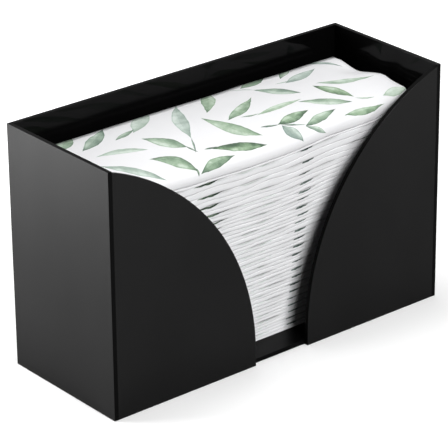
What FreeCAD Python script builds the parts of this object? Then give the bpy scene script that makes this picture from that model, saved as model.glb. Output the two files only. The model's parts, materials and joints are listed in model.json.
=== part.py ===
"""Countertop holder for folded paper guest napkins.

An open-topped box is welded from six pieces of acrylic sheet. Its front is two curved panels with a gap
between them, so that a hand reaches the napkins at any height of the stack. The stack of folded napkins
stands on the base plate.

Units are millimetres. The origin is on the standing surface, under the middle of the box. +X is to the
right as one faces the notched front, +Y goes from that front to the back, and +Z is up.
"""

import FreeCAD, Part
import os

import Sketcher

NAPKINS = 24

# Driving dimensions, in the order of the sheet's rows. The notch is the gap between the front panels, and
# notch_straight is the height of their straight inner edges, below the arcs. fold_setback is how far the
# lowest napkin's fold stands behind the inside of the front. bottom_napkin is that napkin's thickness, and
# each napkin above it is napkin_growth thicker and lies napkin_lean further forward.
DIMENSIONS = {
    "overall_width": 270.0,
    "overall_depth": 101.7,
    "overall_height": 165.5,
    "wall": 3.0,
    "notch_width": 43.5,
    "notch_straight": 10.0,
    "edge_easing": 0.25,
    "napkin_length": 240.0,
    "napkin_depth": 75.0,
    "fold_setback": 17.85,
    "bottom_napkin": 4.95,
    "napkin_growth": 0.1,
    "napkin_lean": 0.26,
}

# Sizes that follow from the driving dimensions, as the sheet's own formulas.
DERIVED = {
    "inside_width": "overall_width - 2 * wall",
    "inside_depth": "overall_depth - 2 * wall",
    "front_panel_width": "(inside_width - notch_width) / 2",
    "arc_span": "(overall_width - notch_width) / 2",
    "arc_rise": "overall_height - notch_straight",
    "arc_radius": "(arc_span ^ 2 + arc_rise ^ 2) / (2 * arc_span)",
    "fold_y": "fold_setback + wall - overall_depth / 2",
}


def make_sheet(doc):
    """The spreadsheet that every sub-part's sizes are bound to."""
    sheet = doc.addObject("Spreadsheet::Sheet", "dims")
    rows = [(alias, str(value)) for alias, value in DIMENSIONS.items()]
    rows += [(alias, "=" + formula) for alias, formula in DERIVED.items()]
    for row, (alias, content) in enumerate(rows, start=1):
        sheet.set(f"A{row}", alias)
        sheet.set(f"B{row}", content)
        sheet.setAlias(f"B{row}", alias)
    doc.recompute()
    return sheet


def new_body(doc, label, place, half_turn=False):
    """An empty body at a place given as three formulas, turned half round about Z if asked."""
    body = doc.addObject("PartDesign::Body", label)
    body.Label = label
    angle = 180 if half_turn else 0
    body.Placement = FreeCAD.Placement(
        FreeCAD.Vector(0, 0, 0), FreeCAD.Rotation(FreeCAD.Vector(0, 0, 1), angle)
    )
    for axis, formula in zip("xyz", place):
        body.setExpression(f"Placement.Base.{axis}", formula)
    return body


def new_sketch(body, plane_role):
    """An empty sketch on one of the body's own origin planes."""
    sketch = body.newObject("Sketcher::SketchObject", body.Label + "_outline")
    plane = next(f for f in body.Origin.OriginFeatures if f.Role == plane_role)
    sketch.AttachmentSupport = [(plane, "")]
    sketch.MapMode = "FlatFace"
    return sketch


def add_chain(sketch, points):
    """Straight lines through the points, each joined to the next. Returns the indices of the lines."""
    lines = []
    for start, end in zip(points, points[1:]):
        line = Part.LineSegment(FreeCAD.Vector(*start, 0), FreeCAD.Vector(*end, 0))
        lines.append(sketch.addGeometry(line, False))
    for one, other in zip(lines, lines[1:]):
        sketch.addConstraint(Sketcher.Constraint("Coincident", one, 2, other, 1))
    return lines


def bind(sketch, name, formula, kind, *where):
    """A named size in the sketch that follows a formula of the sheet."""
    value = float(sketch.evalExpression(formula))
    index = sketch.addConstraint(Sketcher.Constraint(kind, *where, value))
    sketch.renameConstraint(index, name)
    sketch.setExpression(f"Constraints.{name}", formula)


def draw_rectangle(sketch, width, height):
    """A rectangle from the sketch's origin, with its two sides given as formulas."""
    lines = add_chain(sketch, [(0, 0), (1, 0), (1, 1), (0, 1), (0, 0)])
    sketch.addConstraint(Sketcher.Constraint("Coincident", lines[3], 2, lines[0], 1))
    sketch.addConstraint(Sketcher.Constraint("Coincident", lines[0], 1, -1, 1))
    for line in (lines[0], lines[2]):
        sketch.addConstraint(Sketcher.Constraint("Horizontal", line))
    for line in (lines[1], lines[3]):
        sketch.addConstraint(Sketcher.Constraint("Vertical", line))
    bind(sketch, "width", width, "DistanceX", lines[0], 1, lines[0], 2)
    bind(sketch, "height", height, "DistanceY", lines[1], 1, lines[1], 2)


def pad(body, sketch, length, both_ways=False):
    """The sketch made solid along its normal, or half to each side of its plane."""
    solid = body.newObject("PartDesign::Pad", body.Label + "_pad")
    solid.Profile = sketch
    if both_ways:
        solid.SideType = "Symmetric"
    solid.setExpression("Length", length)
    return solid


def ease_edges(body, solid):
    """Every edge of a cut sheet is lightly rounded, as flame polishing leaves it."""
    fillet = body.newObject("PartDesign::Fillet", body.Label + "_easing")
    fillet.Base = (solid, [])
    fillet.UseAllEdges = True
    fillet.setExpression("Radius", "dims.edge_easing")


def make_sheet_panel(doc, label, plane_role, width, height, place):
    """A rectangular piece of acrylic sheet."""
    body = new_body(doc, label, place)
    sketch = new_sketch(body, plane_role)
    draw_rectangle(sketch, width, height)
    ease_edges(body, pad(body, sketch, "dims.wall"))
    return body


def make_front_panel(doc, label, place, half_turn):
    """Half of the front: a straight edge beside the gap, then an arc that ends at the box's top corner.

    The arc is tangent to the straight edge and aims at the outer corner of the side panel, one wall beyond
    this panel's own outer edge.
    """
    body = new_body(doc, label, place, half_turn)
    sketch = new_sketch(body, "XZ_Plane")
    width = (DIMENSIONS["overall_width"] - DIMENSIONS["notch_width"]) / 2 - DIMENSIONS["wall"]
    height, straight = DIMENSIONS["overall_height"], DIMENSIONS["notch_straight"]
    outer, base, inner = add_chain(sketch, [(0, height), (0, 0), (width, 0), (width, straight)])
    top, middle = FreeCAD.Vector(0, height, 0), FreeCAD.Vector(0.7 * width, 0.7 * height, 0)
    arc = sketch.addGeometry(Part.Arc(FreeCAD.Vector(width, straight, 0), middle, top), False)
    sketch.addConstraint(Sketcher.Constraint("Tangent", inner, 2, arc, 1))
    sketch.addConstraint(Sketcher.Constraint("Coincident", arc, 2, outer, 1))
    sketch.addConstraint(Sketcher.Constraint("Coincident", outer, 2, -1, 1))
    sketch.addConstraint(Sketcher.Constraint("Horizontal", base))
    sketch.addConstraint(Sketcher.Constraint("Vertical", outer))
    sketch.addConstraint(Sketcher.Constraint("Vertical", inner))
    bind(sketch, "width", "dims.front_panel_width", "DistanceX", base, 1, base, 2)
    bind(sketch, "straight", "dims.notch_straight", "DistanceY", inner, 1, inner, 2)
    bind(sketch, "radius", "dims.arc_radius", "Radius", arc)
    ease_edges(body, pad(body, sketch, "dims.wall"))
    return body


def napkin_bottom(number):
    """Formula for the height of napkin `number`'s underside, counted from 0 at the base plate.

    Each napkin is a little thicker than the one below it, because it carries less of the stack.
    """
    pairs = number * (number - 1) // 2
    return f"dims.wall + {number} * dims.bottom_napkin + {pairs} * dims.napkin_growth"


def make_napkin(doc, number):
    """One folded napkin: a soft slab with its round fold at the front and its loose edges at the back."""
    label = f"napkin_{number + 1:02d}"
    fold = f"dims.fold_y - {number} * dims.napkin_lean"
    body = new_body(doc, label, ("0 mm", fold, napkin_bottom(number)))
    sketch = new_sketch(body, "YZ_Plane")
    thickness = DIMENSIONS["bottom_napkin"] + number * DIMENSIONS["napkin_growth"]
    depth, nose = DIMENSIONS["napkin_depth"], thickness / 2
    outline = [(nose, 0), (depth, 0), (depth, thickness), (nose, thickness)]
    under, back, over = add_chain(sketch, outline)
    tip = FreeCAD.Vector(0, nose, 0)
    ends = FreeCAD.Vector(nose, thickness, 0), FreeCAD.Vector(nose, 0, 0)
    arc = sketch.addGeometry(Part.Arc(ends[0], tip, ends[1]), False)
    sketch.addConstraint(Sketcher.Constraint("Tangent", over, 2, arc, 1))
    sketch.addConstraint(Sketcher.Constraint("Tangent", arc, 2, under, 1))
    sketch.addConstraint(Sketcher.Constraint("Horizontal", under))
    sketch.addConstraint(Sketcher.Constraint("Horizontal", over))
    sketch.addConstraint(Sketcher.Constraint("Vertical", back))
    sketch.addConstraint(Sketcher.Constraint("PointOnObject", under, 2, -1))
    size = f"(dims.bottom_napkin + {number} * dims.napkin_growth)"
    bind(sketch, "thickness", size, "DistanceY", back, 1, back, 2)
    bind(sketch, "depth", "dims.napkin_depth", "DistanceX", -1, 1, under, 2)
    bind(sketch, "nose", size + " / 2", "DistanceX", -1, 1, arc, 3)
    pad(body, sketch, "dims.napkin_length", both_ways=True)
    return body


def make_all(doc):
    """Every sub-part of the filled holder.

    The side panels run the full depth. The back and the two front panels stand between them, and the base
    plate lies inside all five.
    """
    width, depth, height = "dims.overall_width", "dims.overall_depth", "dims.overall_height"
    inside_width, inside_depth = "dims.inside_width", "dims.inside_depth"
    left, right, floor = f"-{width} / 2", f"{width} / 2 - dims.wall", "0 mm"
    front, back = f"-{depth} / 2", f"{depth} / 2"
    inner_left, inner_front = f"{left} + dims.wall", f"{front} + dims.wall"
    panels = {
        "base_plate": ("XY_Plane", inside_width, inside_depth, (inner_left, inner_front, floor)),
        "back_panel": ("XZ_Plane", inside_width, height, (inner_left, back, floor)),
        "left_side_panel": ("YZ_Plane", depth, height, (left, front, floor)),
        "right_side_panel": ("YZ_Plane", depth, height, (right, front, floor)),
    }
    parts = [make_sheet_panel(doc, label, *drawing) for label, drawing in panels.items()]
    parts.append(make_front_panel(doc, "front_left_panel", (inner_left, inner_front, floor), False))
    parts.append(make_front_panel(doc, "front_right_panel", (right, front, floor), True))
    parts += [make_napkin(doc, number) for number in range(NAPKINS)]
    return parts


def check(doc, parts):
    """Stops if any object failed to build or any sub-part isn't one valid solid."""
    failed = [o.Name for o in doc.Objects if {"Invalid", "Error"} & set(o.State)]
    if failed:
        raise RuntimeError(f"these objects failed to build: {failed}")
    for part in parts:
        shape = part.Shape
        if shape.isNull() or not shape.isValid() or len(shape.Solids) != 1:
            raise RuntimeError(f"{part.Label} isn't one valid solid")


def main():
    doc = FreeCAD.newDocument("napkin_holder")
    make_sheet(doc)
    parts = make_all(doc)
    doc.recompute()
    check(doc, parts)
    os.makedirs("parts", exist_ok=True)
    for part in parts:
        part.Shape.exportStep(f"parts/{part.Label}.step")
        box = part.Shape.BoundBox
        print(
            f"{part.Label}: x {box.XMin:.2f}..{box.XMax:.2f}, y {box.YMin:.2f}..{box.YMax:.2f}, "
            f"z {box.ZMin:.2f}..{box.ZMax:.2f}, volume {part.Shape.Volume:.0f}"
        )


main()
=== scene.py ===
"""Scene for the countertop napkin holder.

The six CAD panels keep their shape and are made of glossy black acrylic sheet. Each napkin's plain CAD slab
is replaced by a sheet of tissue folded into four layers, and all the napkins carry one leaf print.
"""

import json
import math

import bpy
import numpy as np
from mathutils import Matrix, Vector


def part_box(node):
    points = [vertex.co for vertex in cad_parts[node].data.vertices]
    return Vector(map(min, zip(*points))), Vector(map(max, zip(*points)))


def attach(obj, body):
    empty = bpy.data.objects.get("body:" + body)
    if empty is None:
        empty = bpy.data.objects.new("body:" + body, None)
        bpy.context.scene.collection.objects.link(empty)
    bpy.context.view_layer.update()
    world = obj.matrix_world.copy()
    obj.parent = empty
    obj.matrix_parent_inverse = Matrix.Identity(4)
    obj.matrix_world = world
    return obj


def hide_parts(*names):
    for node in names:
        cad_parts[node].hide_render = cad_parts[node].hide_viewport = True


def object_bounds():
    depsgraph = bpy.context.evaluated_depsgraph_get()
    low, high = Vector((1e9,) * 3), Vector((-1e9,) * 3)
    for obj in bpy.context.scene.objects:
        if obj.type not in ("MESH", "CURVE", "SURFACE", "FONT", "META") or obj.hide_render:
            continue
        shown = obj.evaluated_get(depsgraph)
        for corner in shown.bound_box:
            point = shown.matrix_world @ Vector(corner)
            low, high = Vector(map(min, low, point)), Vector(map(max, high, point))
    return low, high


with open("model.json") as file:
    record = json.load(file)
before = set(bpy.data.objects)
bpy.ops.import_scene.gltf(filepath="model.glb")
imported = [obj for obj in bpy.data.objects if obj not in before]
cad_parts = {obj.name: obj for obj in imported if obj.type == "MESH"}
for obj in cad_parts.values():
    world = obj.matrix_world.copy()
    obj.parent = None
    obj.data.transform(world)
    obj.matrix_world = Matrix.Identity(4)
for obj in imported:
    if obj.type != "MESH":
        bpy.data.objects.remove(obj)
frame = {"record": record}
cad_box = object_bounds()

MM = 0.001
BODIES = frame["record"]["behaviour"]["bodies"]
WHITE = (1.0, 1.0, 1.0, 1.0)
BLACK = (0.0, 0.0, 0.0, 1.0)


# ---------------------------------------------------------------- camera and light


def new_object(name, data):
    """An object of the scene that holds a mesh, a camera or a light."""
    thing = bpy.data.objects.new(name, data)
    bpy.context.scene.collection.objects.link(thing)
    return thing


def make_camera():
    """The camera: to the left of the front and above, far off, with a long lens."""
    data = bpy.data.cameras.new("camera")
    data.sensor_width = 36.0
    data.lens = 219.34
    data.clip_start, data.clip_end = 0.05, 50.0
    camera = new_object("camera", data)
    forward = Vector((0.5791, 0.7020, -0.4145))
    turn = forward.to_track_quat("-Z", "Y").to_matrix()
    roll = Matrix.Rotation(math.radians(-0.56), 3, "Z")
    camera.matrix_world = (turn @ roll).to_4x4()
    camera.location = (-1.0168, -1.2263, 0.8006)
    bpy.context.scene.camera = camera


def add_light(name, place, target, size, power):
    """A rectangular softbox at a place, facing a target. It lights the scene but isn't seen itself."""
    data = bpy.data.lights.new(name, "AREA")
    data.shape = "RECTANGLE"
    data.size, data.size_y = size
    data.energy = power
    light = new_object(name, data)
    light.location = place
    way = Vector(target) - Vector(place)
    light.rotation_mode = "QUATERNION"
    light.rotation_quaternion = way.to_track_quat("-Z", "Y")
    light.visible_camera = False


def make_world(strength):
    """An even white light from all round."""
    world = bpy.data.worlds.new("studio")
    world.use_nodes = True
    background = world.node_tree.nodes["Background"]
    background.inputs["Color"].default_value = WHITE
    background.inputs["Strength"].default_value = strength
    bpy.context.scene.world = world


# ---------------------------------------------------------------- node helpers


def feed(tree, value, socket):
    """Give a socket its value, which is another socket or a constant."""
    if isinstance(value, bpy.types.NodeSocket):
        tree.links.new(value, socket)
    else:
        socket.default_value = value


def add(tree, kind, *inputs, out=0, **options):
    """One output of a new shader node. Its inputs are sockets or constants in order."""
    node = tree.nodes.new("ShaderNode" + kind)
    for name, value in options.items():
        setattr(node, name, value)
    for socket, value in zip(node.inputs, inputs):
        feed(tree, value, socket)
    return node.outputs[out]


def calc(tree, operation, *inputs):
    """A sum, product or other operation on numbers."""
    return add(tree, "Math", *inputs, operation=operation)


def ease(tree, value, low, high, to_low=0.0, to_high=1.0):
    """A smooth step from to_low to to_high as the value goes from low to high."""
    return add(tree, "MapRange", value, low, high, to_low, to_high, interpolation_type="SMOOTHSTEP")


def blend(tree, kind, factor, one, other, mode="MIX"):
    """A mix of two values whose kind is "Color" or "Vector"."""
    node = tree.nodes.new("ShaderNodeMix")
    node.data_type = {"Color": "RGBA", "Vector": "VECTOR"}[kind]
    node.blend_type = mode
    sockets = {socket.identifier: socket for socket in node.inputs}
    for name, value in (("Factor_Float", factor), ("A_" + kind, one), ("B_" + kind, other)):
        feed(tree, value, sockets[name])
    return next(socket for socket in node.outputs if socket.identifier == "Result_" + kind)


def noise(tree, vector, scale, detail=2.0, rough=0.5, out="Fac"):
    """Cloudy noise over a vector."""
    node = tree.nodes.new("ShaderNodeTexNoise")
    for name, value in (("Vector", vector), ("Scale", scale), ("Detail", detail), ("Roughness", rough)):
        feed(tree, value, node.inputs[name])
    return node.outputs[out]


def scaled(tree, vector, x, y, z):
    """A vector with its parts scaled by x, y and z."""
    return add(tree, "VectorMath", vector, (x, y, z), operation="MULTIPLY")


def split(tree, vector):
    """The three parts of a vector."""
    node = tree.nodes.new("ShaderNodeSeparateXYZ")
    tree.links.new(vector, node.inputs[0])
    return tuple(node.outputs)


def ramp(tree, value, stops):
    """A colour ramp with its stops as (position, (r, g, b))."""
    node = tree.nodes.new("ShaderNodeValToRGB")
    elements = node.color_ramp.elements
    while len(elements) < len(stops):
        elements.new(0.5)
    for element, (position, colour) in zip(elements, stops):
        element.position = position
        element.color = (*colour, 1.0)
    tree.links.new(value, node.inputs[0])
    return node.outputs[0]


def new_material(name):
    """A material with its node tree and its shader."""
    material = bpy.data.materials.new(name)
    material.use_nodes = True
    tree = material.node_tree
    return material, tree, tree.nodes["Principled BSDF"]


def set_bump(tree, shader, height, distance, strength=1.0):
    """A bump on a shader from a height, whose full range stands for a distance in metres."""
    node = tree.nodes.new("ShaderNodeBump")
    node.inputs["Strength"].default_value = strength
    node.inputs["Distance"].default_value = distance
    tree.links.new(height, node.inputs["Height"])
    tree.links.new(node.outputs["Normal"], shader.inputs["Normal"])


# ---------------------------------------------------------------- acrylic


def make_polished():
    """The face of a cast acrylic sheet: black, with a sharp clear surface over a faint haze."""
    material, tree, shader = new_material("acrylic_face")
    place = add(tree, "NewGeometry")
    cloud = noise(tree, place, 28.0, 3.0)
    fine = noise(tree, place, 900.0)
    tone = calc(tree, "MULTIPLY_ADD", cloud, 0.0006, 0.0006)
    colour = add(tree, "CombineXYZ", tone, tone, calc(tree, "MULTIPLY", tone, 1.06))
    tree.links.new(colour, shader.inputs["Base Color"])
    rough = calc(tree, "MULTIPLY_ADD", cloud, 0.08, 0.40)
    rough = calc(tree, "MULTIPLY_ADD", fine, 0.03, rough)
    tree.links.new(rough, shader.inputs["Roughness"])
    shader.inputs["Specular IOR Level"].default_value = 0.025
    smear = ease(tree, noise(tree, scaled(tree, place, 1.0, 1.0, 0.35), 22.0, 4.0, 0.6), 0.35, 0.75)
    coat = calc(tree, "MULTIPLY_ADD", smear, -0.03, 0.18)
    tree.links.new(coat, shader.inputs["Coat Weight"])
    shader.inputs["Coat Roughness"].default_value = 0.02
    wave = noise(tree, place, 9.0, 1.0)
    wave = calc(tree, "MULTIPLY_ADD", fine, 0.002, wave)
    set_bump(tree, shader, wave, 0.00008)
    return material


def make_cut_edge():
    """The cut edge of the sheet: matter than its face, with the faint lines of the cut across it."""
    material, tree, shader = new_material("acrylic_cut_edge")
    place = add(tree, "NewGeometry")
    cloud = noise(tree, place, 60.0, 3.0)
    tone = calc(tree, "MULTIPLY_ADD", cloud, 0.0008, 0.0006)
    colour = add(tree, "CombineXYZ", tone, tone, tone)
    tree.links.new(colour, shader.inputs["Base Color"])
    tree.links.new(calc(tree, "MULTIPLY_ADD", cloud, 0.15, 0.38), shader.inputs["Roughness"])
    shader.inputs["Specular IOR Level"].default_value = 0.024
    lines = noise(tree, scaled(tree, place, 1.0, 0.12, 1.0), 1400.0, 1.0)
    set_bump(tree, shader, lines, 0.00002, 0.6)
    return material


def dress_panels():
    """The acrylic on the CAD panels: polished on each panel's two faces, cut edge on its outline."""
    polished, cut = make_polished(), make_cut_edge()
    for name in BODIES["holder"]:
        low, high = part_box(name)
        size = [b - a for a, b in zip(low, high)]
        thin = size.index(min(size))
        mesh = bpy.data.objects[name].data
        mesh.materials.clear()
        mesh.materials.append(polished)
        mesh.materials.append(cut)
        for polygon in mesh.polygons:
            polygon.material_index = 0 if abs(polygon.normal[thin]) > 0.5 else 1


# ---------------------------------------------------------------- leaf print

# The print on a napkin, in millimetres: x from its middle to the right, and v from its front fold to the back
# over the top. A leaf is (x, v, direction in degrees, half length, half width, bend, blueness, strength). The
# direction goes from its broad end to its point, and bend is how far its middle stands to the left, in half
# widths.
LEAVES = [
    (-104, 71, 40, 15, 5.0, 0.0, 0.3, 0.9),
    (-87.5, 64.5, 35, 20, 4.4, -0.35, 0.6, 0.95),
    (-46.5, 70, 40, 20, 5.2, -0.1, 0.7, 0.5),
    (-67.5, 58, 18, 10.5, 2.1, 0.0, 0.5, 1.0),
    (-25.2, 52.5, 62, 26.5, 4.5, 0.6, 0.9, 0.6),
    (5.0, 68, 232, 20, 4.5, 0.35, 0.2, 0.8),
    (49.5, 73.7, 12, 13.5, 4.2, -0.2, 0.3, 1.0),
    (80.5, 61, 11, 16.3, 4.0, -0.1, 0.9, 0.7),
    (51, 51, 132, 16, 4.4, 0.1, 0.6, 0.9),
    (77.3, 74, 218, 14, 3.0, 0.0, 0.4, 1.0),
    (104, 70, 310, 17.5, 2.4, 0.5, 1.0, 1.0),
    (-86.5, 36, 166, 17.5, 3.0, -0.9, 0.6, 0.55),
    (-55, 35, 126, 14.8, 5.0, 0.1, 0.3, 0.9),
    (-4, 31, 122, 21, 5.1, 0.95, 0.2, 0.85),
    (14, 45, 27, 20, 3.8, -0.4, 0.2, 0.9),
    (36.5, 31.5, 1, 19.5, 2.2, 0.3, 0.2, 0.6),
    (67, 22, 152, 18.5, 3.4, 0.1, 0.4, 0.85),
    (82, 30, 296, 14.7, 4.2, -0.2, 0.0, 1.1),
    (98.2, 37, 335, 19.8, 2.8, -0.7, 0.4, 0.7),
    (-94, 16, 138, 21.5, 3.1, -0.25, 0.8, 0.7),
    (-65, 12, 138, 15.7, 4.7, -0.75, 0.2, 1.0),
    (-15, 10.3, 164, 20, 3.5, 0.0, 0.0, 1.35),
    (-36.6, 2.5, 9, 15.4, 3.25, 0.45, 0.2, 1.1),
    (36.5, 18, 5, 14.2, 3.6, 0.0, 0.1, 1.2),
    (27.8, 6.8, 293, 9.2, 4.1, -0.2, 0.9, 0.9),
    (53, 9.5, 8, 15, 3.1, 0.0, 0.3, 0.95),
    (44.3, 2.4, 319, 8, 1.7, -0.2, 0.6, 0.9),
    (84.7, 2.4, 355, 16.5, 2.3, 0.1, 0.1, 1.0),
    (113.2, 4, 345, 9.3, 3.8, 0.0, 0.4, 0.5),
]

# The stems, in the same way.
STEMS = [
    (-41, 23, 62, 8, 0.58, 0.0, 0.6, 1.7),
    (-45, 20, 295, 5, 0.63, 0.0, 0.3, 1.8),
    (-53.4, 1.6, 261, 2.8, 0.68, 0.0, 0.3, 1.7),
    (-33, 16, 355, 5, 0.68, 0.0, 0.2, 2.0),
    (17, 18, 346, 7, 0.83, 0.0, 0.4, 2.1),
    (32, 12, 334, 9, 0.62, 0.2, 0.5, 1.5),
    (93.8, 12.2, 331, 7, 0.58, 0.0, 0.3, 0.8),
    (13, 33, 350, 7, 0.68, 0.0, 0.3, 1.3),
    (35, 67, 318, 9, 0.68, 1.5, 0.9, 0.7),
    (64, 60, 350, 6, 0.58, -0.5, 0.7, 0.8),
]

# What the lower napkins show of the print in the grooves between their folds. Here v counts from GROOVE_ROW,
# a place outside the print, and the groove over a napkin is at GROOVE_OVER.
GROOVE_ROW = -60.0
GROOVE_OVER = 1.5
DABS = [
    (-44, 1.55, 2, 14, 0.55, 0.0, 0.1, 2.4),
    (36.5, 1.5, 2, 6.5, 0.6, 0.0, 1.0, 1.4),
    (3, 1.3, 0, 8, 0.3, 0.0, 1.0, 0.3),
    (-14, 1.2, 0, 9, 0.3, 0.0, 1.0, 0.2),
]

# A leaf's outline comes to a fine point, so it is drawn longer and wider by these factors to look its size.
LEAF_LONGER = 1.05
LEAF_WIDER = 1.10
STRONGER = 1.07   # and its colour stronger by this one
WAVER = 0.8       # how far the brushed outlines waver, mm

# Where the print lies on a folded sheet, in millimetres.
PRINT_START = 2.2   # distance from the tip of the upper front fold to v = 0
INSIDE = 38.0       # how far back below that fold the sheet is in the rows before the print
LOWER_FOLD = 100.0  # about v at the tip of the lower front fold, which is past the print
DAB_RIM = 1.5       # how far past the round of the upper front fold it is still in the dabs' rows

# The colours of the paper and of the two inks, from no pigment to the most.
PAPER = (0.865, 0.865, 0.88)
GREEN = [
    (0.0, PAPER), (0.14, (0.66, 0.755, 0.645)), (0.40, (0.36, 0.49, 0.335)),
    (0.70, (0.19, 0.29, 0.18)), (1.0, (0.08, 0.13, 0.085)),
]
TEAL = [
    (0.0, PAPER), (0.14, (0.68, 0.76, 0.72)), (0.40, (0.42, 0.50, 0.47)),
    (0.70, (0.26, 0.33, 0.31)), (1.0, (0.13, 0.18, 0.17)),
]


def make_leaf_group():
    """A node group that lays one leaf over those before it.

    Spot carries (along the leaf, across the leaf, code) of the leaf that the point is in, and Depth is how
    far the point is inside that leaf's outline, in half widths. The code's whole part is the leaf's strength
    in tenths, and its fraction is 0.9 of its blueness.
    """
    group = bpy.data.node_groups.new("leaf", "ShaderNodeTree")
    for name, kind in (
        ("Map", "Vector"), ("Centre", "Vector"), ("Turn", "Vector"), ("Size", "Vector"),
        ("Bend", "Float"), ("Code", "Float"), ("Spot", "Vector"), ("Depth", "Float"),
    ):
        group.interface.new_socket(name=name, in_out="INPUT", socket_type="NodeSocket" + kind)
    group.interface.new_socket(name="Spot", in_out="OUTPUT", socket_type="NodeSocketVector")
    group.interface.new_socket(name="Depth", in_out="OUTPUT", socket_type="NodeSocketFloat")
    given = group.nodes.new("NodeGroupInput").outputs
    result = group.nodes.new("NodeGroupOutput").inputs
    placing = [given[name] for name in ("Map", "Centre", "Turn", "Size")]
    along, across, _ = split(group, add(group, "Mapping", *placing, vector_type="TEXTURE"))
    # the half width falls from 1 in the middle to 0 at both ends, and is a little more towards the broad end
    lens = calc(group, "MULTIPLY_ADD", calc(group, "MULTIPLY", along, along), -1.0, 1.0)
    across = calc(group, "SUBTRACT", across, calc(group, "MULTIPLY", lens, given["Bend"]))
    taper = calc(group, "MULTIPLY_ADD", along, -0.25, 1.0)
    lens = calc(group, "MAXIMUM", lens, 0.0)
    width = calc(group, "MULTIPLY", calc(group, "POWER", lens, 1.5), taper)
    # past the leaf's two ends the point is far outside it
    beyond = calc(group, "MULTIPLY", calc(group, "LESS_THAN", lens, 0.001), 9.0)
    width = calc(group, "SUBTRACT", width, beyond)
    depth = calc(group, "SUBTRACT", width, calc(group, "ABSOLUTE", across))
    inside = calc(group, "GREATER_THAN", depth, given["Depth"])
    here = add(group, "CombineXYZ", along, across, given["Code"])
    group.links.new(blend(group, "Vector", inside, given["Spot"], here), result["Spot"])
    group.links.new(calc(group, "MAXIMUM", depth, given["Depth"]), result["Depth"])
    return group


def draw_leaves(tree, place):
    """All the leaves, stems and dabs at a place in the print, as the leaf group's last Spot and Depth."""
    group = make_leaf_group()
    dabs = [(x, v + GROOVE_ROW, *rest) for x, v, *rest in DABS]
    spot = add(tree, "CombineXYZ", 0.0, 0.0, 0.0)
    depth = add(tree, "Value")
    depth.default_value = -1.0
    for x, v, turn, length, width, bend, blue, strength in LEAVES + STEMS + dabs:
        leaf = tree.nodes.new("ShaderNodeGroup")
        leaf.node_tree = group
        for name, value in (
            ("Map", place), ("Centre", (x, v, 0.0)), ("Turn", (0.0, 0.0, math.radians(turn))),
            ("Size", (LEAF_LONGER * length, LEAF_WIDER * width, 1.0)), ("Bend", bend),
            ("Code", round(10 * strength) + 0.9 * blue), ("Spot", spot), ("Depth", depth),
        ):
            feed(tree, value, leaf.inputs[name])
        spot, depth = leaf.outputs["Spot"], leaf.outputs["Depth"]
    return spot, depth


def paint(tree, flat, spot, depth, printed):
    """How much pigment is on the paper, and how blue it is."""
    along, across, code = split(tree, spot)
    strength = calc(tree, "MULTIPLY", calc(tree, "FLOOR", code), STRONGER / 10)
    blue = calc(tree, "FRACT", code)
    wash = noise(tree, flat, 0.13, 3.0, 0.55)
    grain = noise(tree, flat, 1.1, 3.0, 0.6)
    # pigment gathers at the leaf's ends, along its rim, on its shaded side and along its middle
    tips = calc(tree, "POWER", calc(tree, "ABSOLUTE", along), 3.0)
    rim = ease(tree, depth, 0.28, 0.02)
    side = ease(tree, across, 0.5, -0.5)
    rib = ease(tree, calc(tree, "ABSOLUTE", across), 0.10, 0.0)
    pool = ease(tree, wash, 0.35, 0.68)
    speck = calc(tree, "SUBTRACT", grain, 0.5)
    pigment = 0.155
    for part, share in ((tips, 0.48), (rim, 0.30), (side, 0.28), (rib, 0.08), (pool, 0.28), (speck, 0.10)):
        pigment = calc(tree, "MULTIPLY_ADD", part, share, pigment)
    pigment = calc(tree, "MULTIPLY", pigment, strength)
    cover = ease(tree, depth, 0.0, 0.09)
    return calc(tree, "MULTIPLY", pigment, calc(tree, "MULTIPLY", cover, printed)), blue


def make_napkin_paper():
    """White tissue with a watercolour leaf print.

    The napkins' print_map attribute is where in the print a point is, then 1 on the printed side or 0 on the
    other. A second attribute paints shade: how grey a point is in the grooves between the folds.
    """
    material, tree, shader = new_material("napkin_print")
    x, v, side = split(tree, add(tree, "Attribute", attribute_name="print_map", out="Vector"))
    flat = add(tree, "CombineXYZ", x, v, 0.0)
    # the outlines waver a little, as brush strokes do
    waver = noise(tree, flat, 0.16, out="Color")
    place = add(tree, "VectorMath", waver, (2 * WAVER, 2 * WAVER, 0.0), flat, operation="MULTIPLY_ADD")
    place = add(tree, "VectorMath", place, (-WAVER, -WAVER, 0.0), operation="ADD")
    printed = ease(tree, side, 0.5, 0.9)
    pigment, blue = paint(tree, flat, *draw_leaves(tree, place), printed)
    ink = blend(tree, "Color", blue, ramp(tree, pigment, GREEN), ramp(tree, pigment, TEAL))

    # the bare tissue has a trace of grey fibre, and painted shade greys the grooves between the folds, most
    # where they are printed
    fibre = noise(tree, flat, 2.4, 4.0, 0.7)
    tone = calc(tree, "MULTIPLY_ADD", fibre, 0.03, 0.97)
    # painted shade in the grooves between the folds, darker where the print is
    crease = add(tree, "Attribute", attribute_name="crease", out="Fac")
    shade = calc(tree, "MULTIPLY_ADD", calc(tree, "MINIMUM", pigment, 1.0), 0.45, 0.40)
    shade = calc(tree, "MULTIPLY", crease, shade)
    tone = calc(tree, "MULTIPLY", tone, calc(tree, "SUBTRACT", 1.0, shade))
    colour = blend(tree, "Color", 1.0, ink, add(tree, "CombineXYZ", tone, tone, tone), "MULTIPLY")
    tree.links.new(colour, shader.inputs["Base Color"])
    tree.links.new(calc(tree, "MULTIPLY_ADD", fibre, 0.10, 0.84), shader.inputs["Roughness"])
    shader.inputs["Specular IOR Level"].default_value = 0.2

    # fibres, fine lines along the folds and a slow swell
    streak = noise(tree, scaled(tree, flat, 0.035, 1.0, 1.0), 1.3, 3.0, 0.6)
    swell = noise(tree, flat, 0.09)
    height = calc(tree, "MULTIPLY_ADD", fibre, 0.25, streak)
    height = calc(tree, "MULTIPLY_ADD", swell, 1.5, height)
    set_bump(tree, shader, height, 0.00022, 0.7)
    return material


# ---------------------------------------------------------------- curves

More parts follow.
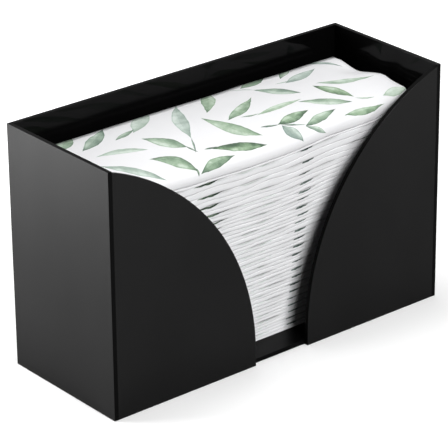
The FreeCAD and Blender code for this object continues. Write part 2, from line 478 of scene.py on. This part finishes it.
# The napkins are worked out in millimetres, in the frame's x, y and z.


def smooth(t):
    """A smooth step from 0 to 1 as t goes from 0 to 1."""
    t = np.clip(t, 0.0, 1.0)
    return t * t * (3.0 - 2.0 * t)


def hill(x, place, width):
    """A smooth hill that is 1 high at a place."""
    return np.exp(-(((x - place) / width) ** 2))


def fade(distance, length):
    """1 where the distance is 0 or less, and from there a fall to nothing over a few lengths."""
    return np.exp(-np.clip(distance, 0, None) / length)


class Waves:
    """Seeded random numbers, and smooth random curves along x made of a few sine waves."""

    def __init__(self, seed):
        self.random = np.random.default_rng(seed)

    def curve(self, shortest, longest, count=5):
        """A function of x in millimetres with values mostly between -1 and 1."""
        lengths = np.exp(self.random.uniform(math.log(shortest), math.log(longest), count))
        phases = self.random.uniform(0, 2 * math.pi, count)
        weights = self.random.uniform(0.5, 1.0, count)
        weights /= np.sqrt((weights ** 2).sum() / 2) * 1.5

        def value(x):
            total = 0.0
            for length, phase, weight in zip(lengths, phases, weights):
                total = total + weight * np.sin(2 * math.pi * x / length + phase)
            return total

        return value

    def number(self, low, high):
        """A number between low and high."""
        return float(self.random.uniform(low, high))


# ---------------------------------------------------------------- the pile

NAPKINS = sorted(BODIES["napkin_stack"] + BODIES["top_napkin"])
TOP = len(NAPKINS) - 1
BOXES = [tuple(np.array(corner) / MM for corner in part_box(name)) for name in NAPKINS]
LEVELS = [low[2] for low, _ in BOXES] + [BOXES[-1][1][2]]
FRONTS = [low[1] for low, _ in BOXES] + [BOXES[-1][0][1]]
DEPTH = BOXES[0][1][1] - BOXES[0][0][1]
LEFT, RIGHT = BOXES[0][0][0], BOXES[0][1][0]

PLY = 0.45        # thickness of one folded layer
SLOPE = 46.0      # how far back from its front the pile slopes down
PRESSED = 12.6    # how far the top of the pile is pressed down in the middle of its front
EASED = (         # how much less it is pressed towards its ends: (less, side, place, length)
    (4.0, 1, 8, 60), (1.0, -1, 8, 40), (3.0, -1, 55, 60), (6.5, 1, 90, 28),
)
SETTLED = 5.8     # how much further it has settled under the uppermost napkins, at most
SETTLED_AT = 0.84   # the share of the pile's height where that is
OPEN = 0.7        # how far two napkins stand apart where the groove between them is open
LEAST_OPEN = 0.05   # and where it is closed
ON_PLATE = 0.04   # the lowest napkin is half of this clear of the base plate


class Stack:
    """The surfaces on which the napkins of the stack touch, from the base plate to the top of the pile.

    Hands have pressed the folds down at the front, most in the middle of the notch, and the loose edges at
    the back lie a little lower than the middle.
    """

    def __init__(self):
        waves = Waves(11)
        self.swell = [(waves.curve(60, 200, 3), waves.number(0.6, 1.0)) for _ in range(3)]
        self.own = [waves.curve(60, 240) for _ in LEVELS]
        self.gap = [waves.curve(22, 90, 6) for _ in LEVELS]

    def height(self, number, x, y):
        """Height of a touching surface."""
        share = (LEVELS[number] - LEVELS[0]) / (LEVELS[-1] - LEVELS[0])
        start = FRONTS[number] + SLOPE
        turn = np.clip((start - y) / SLOPE, 0.0, 1.05)
        press = PRESSED
        for less, side, place, length in EASED:
            press = press - less * smooth((side * x - place) / length)
        # below the uppermost napkins the pile has settled further, so that these look the thickest
        settled = SETTLED * hill(share, SETTLED_AT, 0.13 if share > SETTLED_AT else 0.20) * (share < 1.0)
        z = LEVELS[number] - (press * share ** 0.8 + settled + 2.0 * share * (1 - share)) * turn ** 2.2
        z = z - 0.8 * share * smooth((y - start - 16) / 12)
        for step, (curve, size) in enumerate(self.swell):
            z = z + 0.35 * size * share * curve(x + 18 * step + 1.5 * number) * np.cos((y + 25 * step) / 30)
        loose = share * (1 - share ** 6)
        z = z + 0.55 * loose * self.own[number](x) * (0.35 + 0.65 * turn ** 1.5)
        # the right end of the upper napkins dips in the middle
        return z - 3.2 * share ** 8 * smooth((x - 100) / 20) * hill(y, 14, 12)

    def marks(self, x):
        """Where along x the print shows in the grooves, which are opener there."""
        return hill(x, -40, 9) + 0.6 * hill(x, 33, 7)

    def opening(self, number, x, y):
        """The clear space left at a touching surface, which opens here and there between the folds."""
        if number == 0:
            return ON_PLATE
        local = np.clip(self.gap[number](x) - 0.1, 0.0, 1.2) ** 1.4
        return LEAST_OPEN + OPEN * (local + 0.7 * self.marks(x)) * fade(y - FRONTS[number], 8.0)


# ---------------------------------------------------------------- folded napkins

STATIONS = 85     # cross-sections along a napkin
FLAT = 18         # points along one layer
ROUND = 11        # points round one fold, with the two that the layers on it end in
TIP = FLAT + (ROUND - 2) // 2   # which point of the sheet is the tip of its upper front fold
BLUNT, FULL, HALF_ROUND = 8.0, 2.4, 2.0   # powers of the superellipses in the folds' sections
BACK_FOLD = 0.5   # depth of the fold at the back


def fold(tip, depth, powers):
    """Points round a fold: their y, and their height from 1 at its upper layer to -1 at its lower layer.

    Its upper and lower halves are superellipses with the two powers.
    """
    angles = np.linspace(math.pi / 2, -math.pi / 2, ROUND)[1:-1]
    power = np.where(angles > 0, *powers)
    height = np.sign(np.sin(angles)) * np.abs(np.sin(angles)) ** (2 / power)
    back = 1.0 - np.abs(np.cos(angles)) ** (2 / power)
    return tip[:, None] + depth[:, None] * back[None, :], height


class Napkin:
    """One napkin: a flat sheet folded zigzag into four layers, with two folds at the front and one behind.

    Its grids have a row for each station along x. Along a row they follow the sheet, from the loose edge of
    the top layer round the three folds to the loose edge of the lowest.
    """

    def __init__(self, index, stack):
        self.index, self.stack = index, stack
        self.last = index == TOP
        self.share = index / TOP
        self.front = FRONTS[index]
        self.x = LEFT + (RIGHT - LEFT) * np.linspace(0.0, 1.0, STATIONS)
        self.waves = waves = Waves(100 + index)
        push = waves.number(-0.12, 0.12)
        self.tips = [
            self.front + 0.5 + 0.16 * lower + push + 0.08 * waves.curve(50, 200)(self.x)
            for lower in range(2)
        ]
        back = self.front + DEPTH
        self.ends = [
            back - waves.number(0.3, 1.9) - 0.3 - 0.3 * waves.curve(40, 160)(self.x)
            for _ in range(3)
        ]
        self.middle = waves.curve(40, 160)
        self.spread = waves.curve(22, 100)
        self.depths = [0.9 + 0.12 * waves.curve(30, 120)(self.x) for _ in range(2)]
        if self.last:
            # its upper fold is deep and stands out over its lower one
            self.tips[1] = self.tips[0] + 0.3
            self.depths[0] = self.depths[0] + 2.6

    def level(self, layer, y):
        """Height of the middle of a layer, 0 the top one and 3 the lowest."""
        index, stack = self.index, self.stack
        x = np.broadcast_to(self.x[:, None], y.shape)
        low = stack.height(index, x, y) + stack.opening(index, x, y) / 2 + PLY / 2
        high = stack.height(index + 1, x, y) - PLY / 2
        if not self.last:
            high = high - stack.opening(index + 1, x, y) / 2
        if layer == 0:
            return high
        if layer == 3:
            return low
        part = 0.5 + 0.07 * self.middle(x)
        if self.last:
            # the upper fold of the top napkin droops over its lower fold
            part = part * (1.0 - 0.78 * fade(y - self.front, 12))
        centre = low + (high - low) * part
        half = PLY / 2 + (0.01 if self.last else 0.03)
        half = half + 0.16 * (1 + self.spread(x + y)) * smooth((y - self.front) / 14)
        return centre + half if layer == 1 else centre - half

    def groove(self, curve, least, most, marks=0.0):
        """How much painted shade greys the paper in a groove, along x."""
        grey = least + (most - least) * smooth(0.5 + 0.5 * curve(self.x)) + marks * self.stack.marks(self.x)
        return np.clip(grey, 0.0, 1.0)[:, None]

    def run(self, layer, start, end, grey):
        """The grids of y, z and painted shade over one layer, which has this shade in the groove at its
        front.
        """
        y = start[:, None] + (end - start)[:, None] * np.linspace(0, 1, FLAT)[None, :]
        return y, self.level(layer, y), grey * fade(y - self.front - 1.5, 2.0)

    def turn(self, layer, tip, depth, powers, above, below):
        """The same grids over the fold from a layer to the next, with the painted shades above and below its
        tip.
        """
        y, height = fold(tip, depth, powers)
        upper, lower = self.level(layer, y), self.level(layer + 1, y)
        z = (upper + lower) / 2 + (upper - lower) / 2 * height[None, :]
        # painted shade on the fold's rounded corners, where it turns into the grooves
        return y, z, np.where(height > 0, above, below) * smooth((np.abs(height) - 0.6) / 0.38)

    def folded(self):
        """The grids of y, z and painted groove shade over the whole sheet."""
        # how much painted shade greys the grooves: over the upper front fold, under the lower one and between
        # them
        over = self.groove(self.stack.gap[self.index + 1], 0.2, 1.0, 1.0) * (not self.last)
        under = self.groove(self.stack.gap[self.index], 0.2, 1.0, 0.6)
        inside = self.groove(self.waves.curve(22, 90), 0.2 if self.last else 0.1, 0.4)
        none = np.zeros((STATIONS, 1))
        (upper, lower), (top_end, back, low_end) = self.tips, self.ends
        upper_depth, lower_depth = self.depths
        behind = np.full(STATIONS, -BACK_FOLD)
        grids = [
            self.run(0, top_end, upper + upper_depth, over),
            self.turn(0, upper, upper_depth, (FULL if self.last else BLUNT, BLUNT), over, inside),
            self.run(1, upper + upper_depth, back - BACK_FOLD, inside),
            self.turn(1, back, behind, (HALF_ROUND, HALF_ROUND), none, none),
            self.run(2, back - BACK_FOLD, lower + lower_depth, inside),
            self.turn(2, lower, lower_depth, (BLUNT, BLUNT), inside, under),
            self.run(3, lower + lower_depth, low_end, under),
        ]
        return [np.concatenate(pieces, axis=1) for pieces in zip(*grids)]

    def across(self, y, travel):
        """The grid of x. The sheet isn't quite square to the pile, nor quite as wide as the next."""
        skew = self.waves.number(-0.8, 0.8) / 300.0
        shift = self.waves.number(-0.45, 0.45)
        reach = 1.0 + 0.004 * self.waves.number(-1, 1)
        across = self.x[:, None] * reach + shift + skew * travel
        # the right end bulges out towards the front on the upper napkins
        bulge = 2.4 * hill(y, -10, 7) - 2.0 * hill(y, 5, 8)
        return across + self.share ** 8 * bulge * smooth((self.x[:, None] - 60) / 60)

    def print_place(self, along, travel):
        """Grids of where the sheet is in the print: x and v, as the leaves give them.

        The print starts at the upper front fold and covers the top layer. What shows of the other layers is
        before or past it, where the paper is bare. The lower napkins have shifted a little, and their upper
        front folds show the dabs, which stand closer together further down.
        """
        shifted = not self.last
        drift = self.waves.number(-1.3, 1.3) * shifted
        v = travel - PRINT_START + (self.waves.number(-0.4, 0.4) + 0.6) * shifted
        v = np.where(travel < -INSIDE, v + 2 * DEPTH + LOWER_FOLD, v)
        if shifted:
            nose = (along[:, TIP] - along[:, FLAT])[:, None]
            dabs = GROOVE_OVER * travel / nose + self.waves.number(-0.3, 0.3) + GROOVE_ROW
            v = np.where(np.abs(travel) < nose + DAB_RIM, dabs, v)
        squeeze, middle = 1.0 + 0.35 * (1 - self.share), -5.0
        x = (self.x[:, None] - middle) * squeeze + middle - drift + 0.6 * self.last
        return np.broadcast_to(x, v.shape), v


def both_sides(outer, inner):
    """Values round the closed sheet: along its outer side and back along its inner side."""
    return np.concatenate([outer, inner[:, ::-1]], axis=1)


def sheet_faces(count):
    """The faces of a closed sheet with count points along it, and which of them are flat edges."""
    around = 2 * count
    i, a = np.meshgrid(np.arange(STATIONS - 1), np.arange(around), indexing="ij")
    b = (a + 1) % around
    sides = np.stack([i * around + a, i * around + b, (i + 1) * around + b, (i + 1) * around + a], -1)
    j = np.arange(count - 1)
    cap = np.stack([j, around - 1 - j, around - 2 - j, j + 1], -1)
    far = cap[:, ::-1] + (STATIONS - 1) * around
    faces = np.concatenate([sides.reshape(-1, 4), cap, far])
    flat = np.ones(len(faces), bool)
    flat[: a.size] = np.isin(a.ravel(), (count - 1, around - 1))
    return faces, flat


def add_attribute(mesh, name, kind, field, values):
    """A value on each point of a mesh, for its material."""
    data = mesh.attributes.new(name, kind, "POINT").data
    data.foreach_set(field, values.reshape(-1).astype(np.float32))


def make_napkin(index, stack, material):
    """The mesh of one napkin, in place of its CAD slab."""
    last = index == TOP
    napkin = Napkin(index, stack)
    y, z, crease = napkin.folded()
    steps = np.hypot(np.diff(y, axis=1), np.diff(z, axis=1))
    along = np.concatenate([np.zeros((STATIONS, 1)), np.cumsum(steps, axis=1)], axis=1)
    # distance along the sheet from the tip of the upper front fold to the back over the top
    travel = along[:, TIP][:, None] - along
    x = napkin.across(y, travel)
    dy, dz = np.gradient(y, axis=1), np.gradient(z, axis=1)
    size = np.hypot(dy, dz)
    off_y, off_z = dz / size * PLY / 2, -dy / size * PLY / 2
    outer = np.stack([x, y + off_y, z + off_z], axis=-1)
    inner = np.stack([x, y - off_y, z - off_z], axis=-1)
    print_x, print_v = napkin.print_place(along, travel)
    printed = np.stack([print_x, print_v, np.ones_like(y)], axis=-1)
    bare = np.stack([print_x, print_v, np.zeros_like(y)], axis=-1)

    name = f"folded_{NAPKINS[index]}"
    mesh = bpy.data.meshes.new(name)
    faces, flat = sheet_faces(y.shape[1])
    vertices = both_sides(outer, inner).reshape(-1, 3) * MM
    mesh.from_pydata(vertices.tolist(), [], faces.tolist())
    mesh.polygons.foreach_set("use_smooth", ~flat)
    add_attribute(mesh, "print_map", "FLOAT_VECTOR", "vector", both_sides(printed, bare))
    # painted shade in the grooves between the folds, the same on both sides of the sheet
    add_attribute(mesh, "crease", "FLOAT", "value", both_sides(crease, crease))
    mesh.materials.append(material)
    mesh.update()
    piece = new_object(name, mesh)
    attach(piece, "top_napkin" if last else "napkin_stack")
    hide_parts(NAPKINS[index])


# ---------------------------------------------------------------- stage


def make_floor():
    """A plain white floor, just under the holder. It glows away from the holder, to stay white there, and
    glows less next to it, which paints a soft contact shadow round the holder.
    """
    half, under = 6.0, 0.0003
    mesh = bpy.data.meshes.new("floor")
    corners = [(-half, -half, 0), (half, -half, 0), (half, half, 0), (-half, half, 0)]
    mesh.from_pydata(corners, [], [(0, 1, 2, 3)])
    floor = new_object("floor", mesh)
    floor.location = (0, 0, -under)
    material, tree, shader = new_material("floor_white")
    shader.inputs["Base Color"].default_value = (0.93, 0.93, 0.93, 1)
    shader.inputs["Roughness"].default_value = 0.9
    shader.inputs["Specular IOR Level"].default_value = 0.1
    shader.inputs["Emission Color"].default_value = WHITE
    place = split(tree, add(tree, "NewGeometry"))
    high = cad_box[1]
    beyond = [calc(tree, "SUBTRACT", calc(tree, "ABSOLUTE", place[axis]), high[axis]) for axis in range(2)]
    distance = calc(tree, "MAXIMUM", calc(tree, "MAXIMUM", *beyond), 0.0)
    # painted contact shadow: the glow is faint next to the holder and grows over a few centimetres
    painted_shadow_glow = ease(tree, distance, -0.02, 0.06, 0.03, 0.28)
    far = ease(tree, distance, 0.05, 0.6, 0.0, 0.66)
    tree.links.new(calc(tree, "ADD", painted_shadow_glow, far), shader.inputs["Emission Strength"])
    mesh.materials.append(material)
    floor.visible_diffuse = False


def make_backdrop():
    """A white dome round the floor. It is seen and mirrored in the acrylic, but doesn't light the object."""
    radius, rings, sides = 5.9, 24, 64
    points = [
        (radius * math.cos(a) * math.cos(b), radius * math.cos(a) * math.sin(b), radius * math.sin(a))
        for a in (0.5 * math.pi * i / rings for i in range(rings))
        for b in (2.0 * math.pi * j / sides for j in range(sides))
    ]
    faces = [
        (i * sides + j, i * sides + k, (i + 1) * sides + k, (i + 1) * sides + j)
        for i in range(rings - 1)
        for j, k in ((j, (j + 1) % sides) for j in range(sides))
    ]
    faces.append(tuple((rings - 1) * sides + j for j in range(sides)))
    mesh = bpy.data.meshes.new("backdrop")
    mesh.from_pydata(points, [], faces)
    backdrop = new_object("backdrop", mesh)
    material, tree, shader = new_material("backdrop_white")
    shader.inputs["Base Color"].default_value = BLACK
    shader.inputs["Specular IOR Level"].default_value = 0.0
    shader.inputs["Emission Color"].default_value = WHITE
    shader.inputs["Emission Strength"].default_value = 1.0
    mesh.materials.append(material)
    backdrop.visible_diffuse = False
    backdrop.visible_shadow = False


bpy.context.scene.view_settings.view_transform = "Standard"
make_camera()
make_world(0.035)
make_floor()
make_backdrop()
add_light("key", (-0.07, -1.82, 1.79), (0.0, 0.0, 0.08), (1.05, 0.42), 56.0)
add_light("fill", (0.1, -1.50, 0.70), (0.0, 0.0, 0.08), (0.5, 0.4), 6.0)
add_light("left_card", (-0.42, 0.30, 0.16), (-0.12, 0.0, 0.08), (0.3, 0.3), 3.95)
add_light("top", (0.1, 0.7, 1.5), (0.0, 0.0, 0.1), (1.2, 1.2), 7.0)

dress_panels()
paper = make_napkin_paper()
stack = Stack()
for index in range(len(NAPKINS)):
    make_napkin(index, stack, paper)
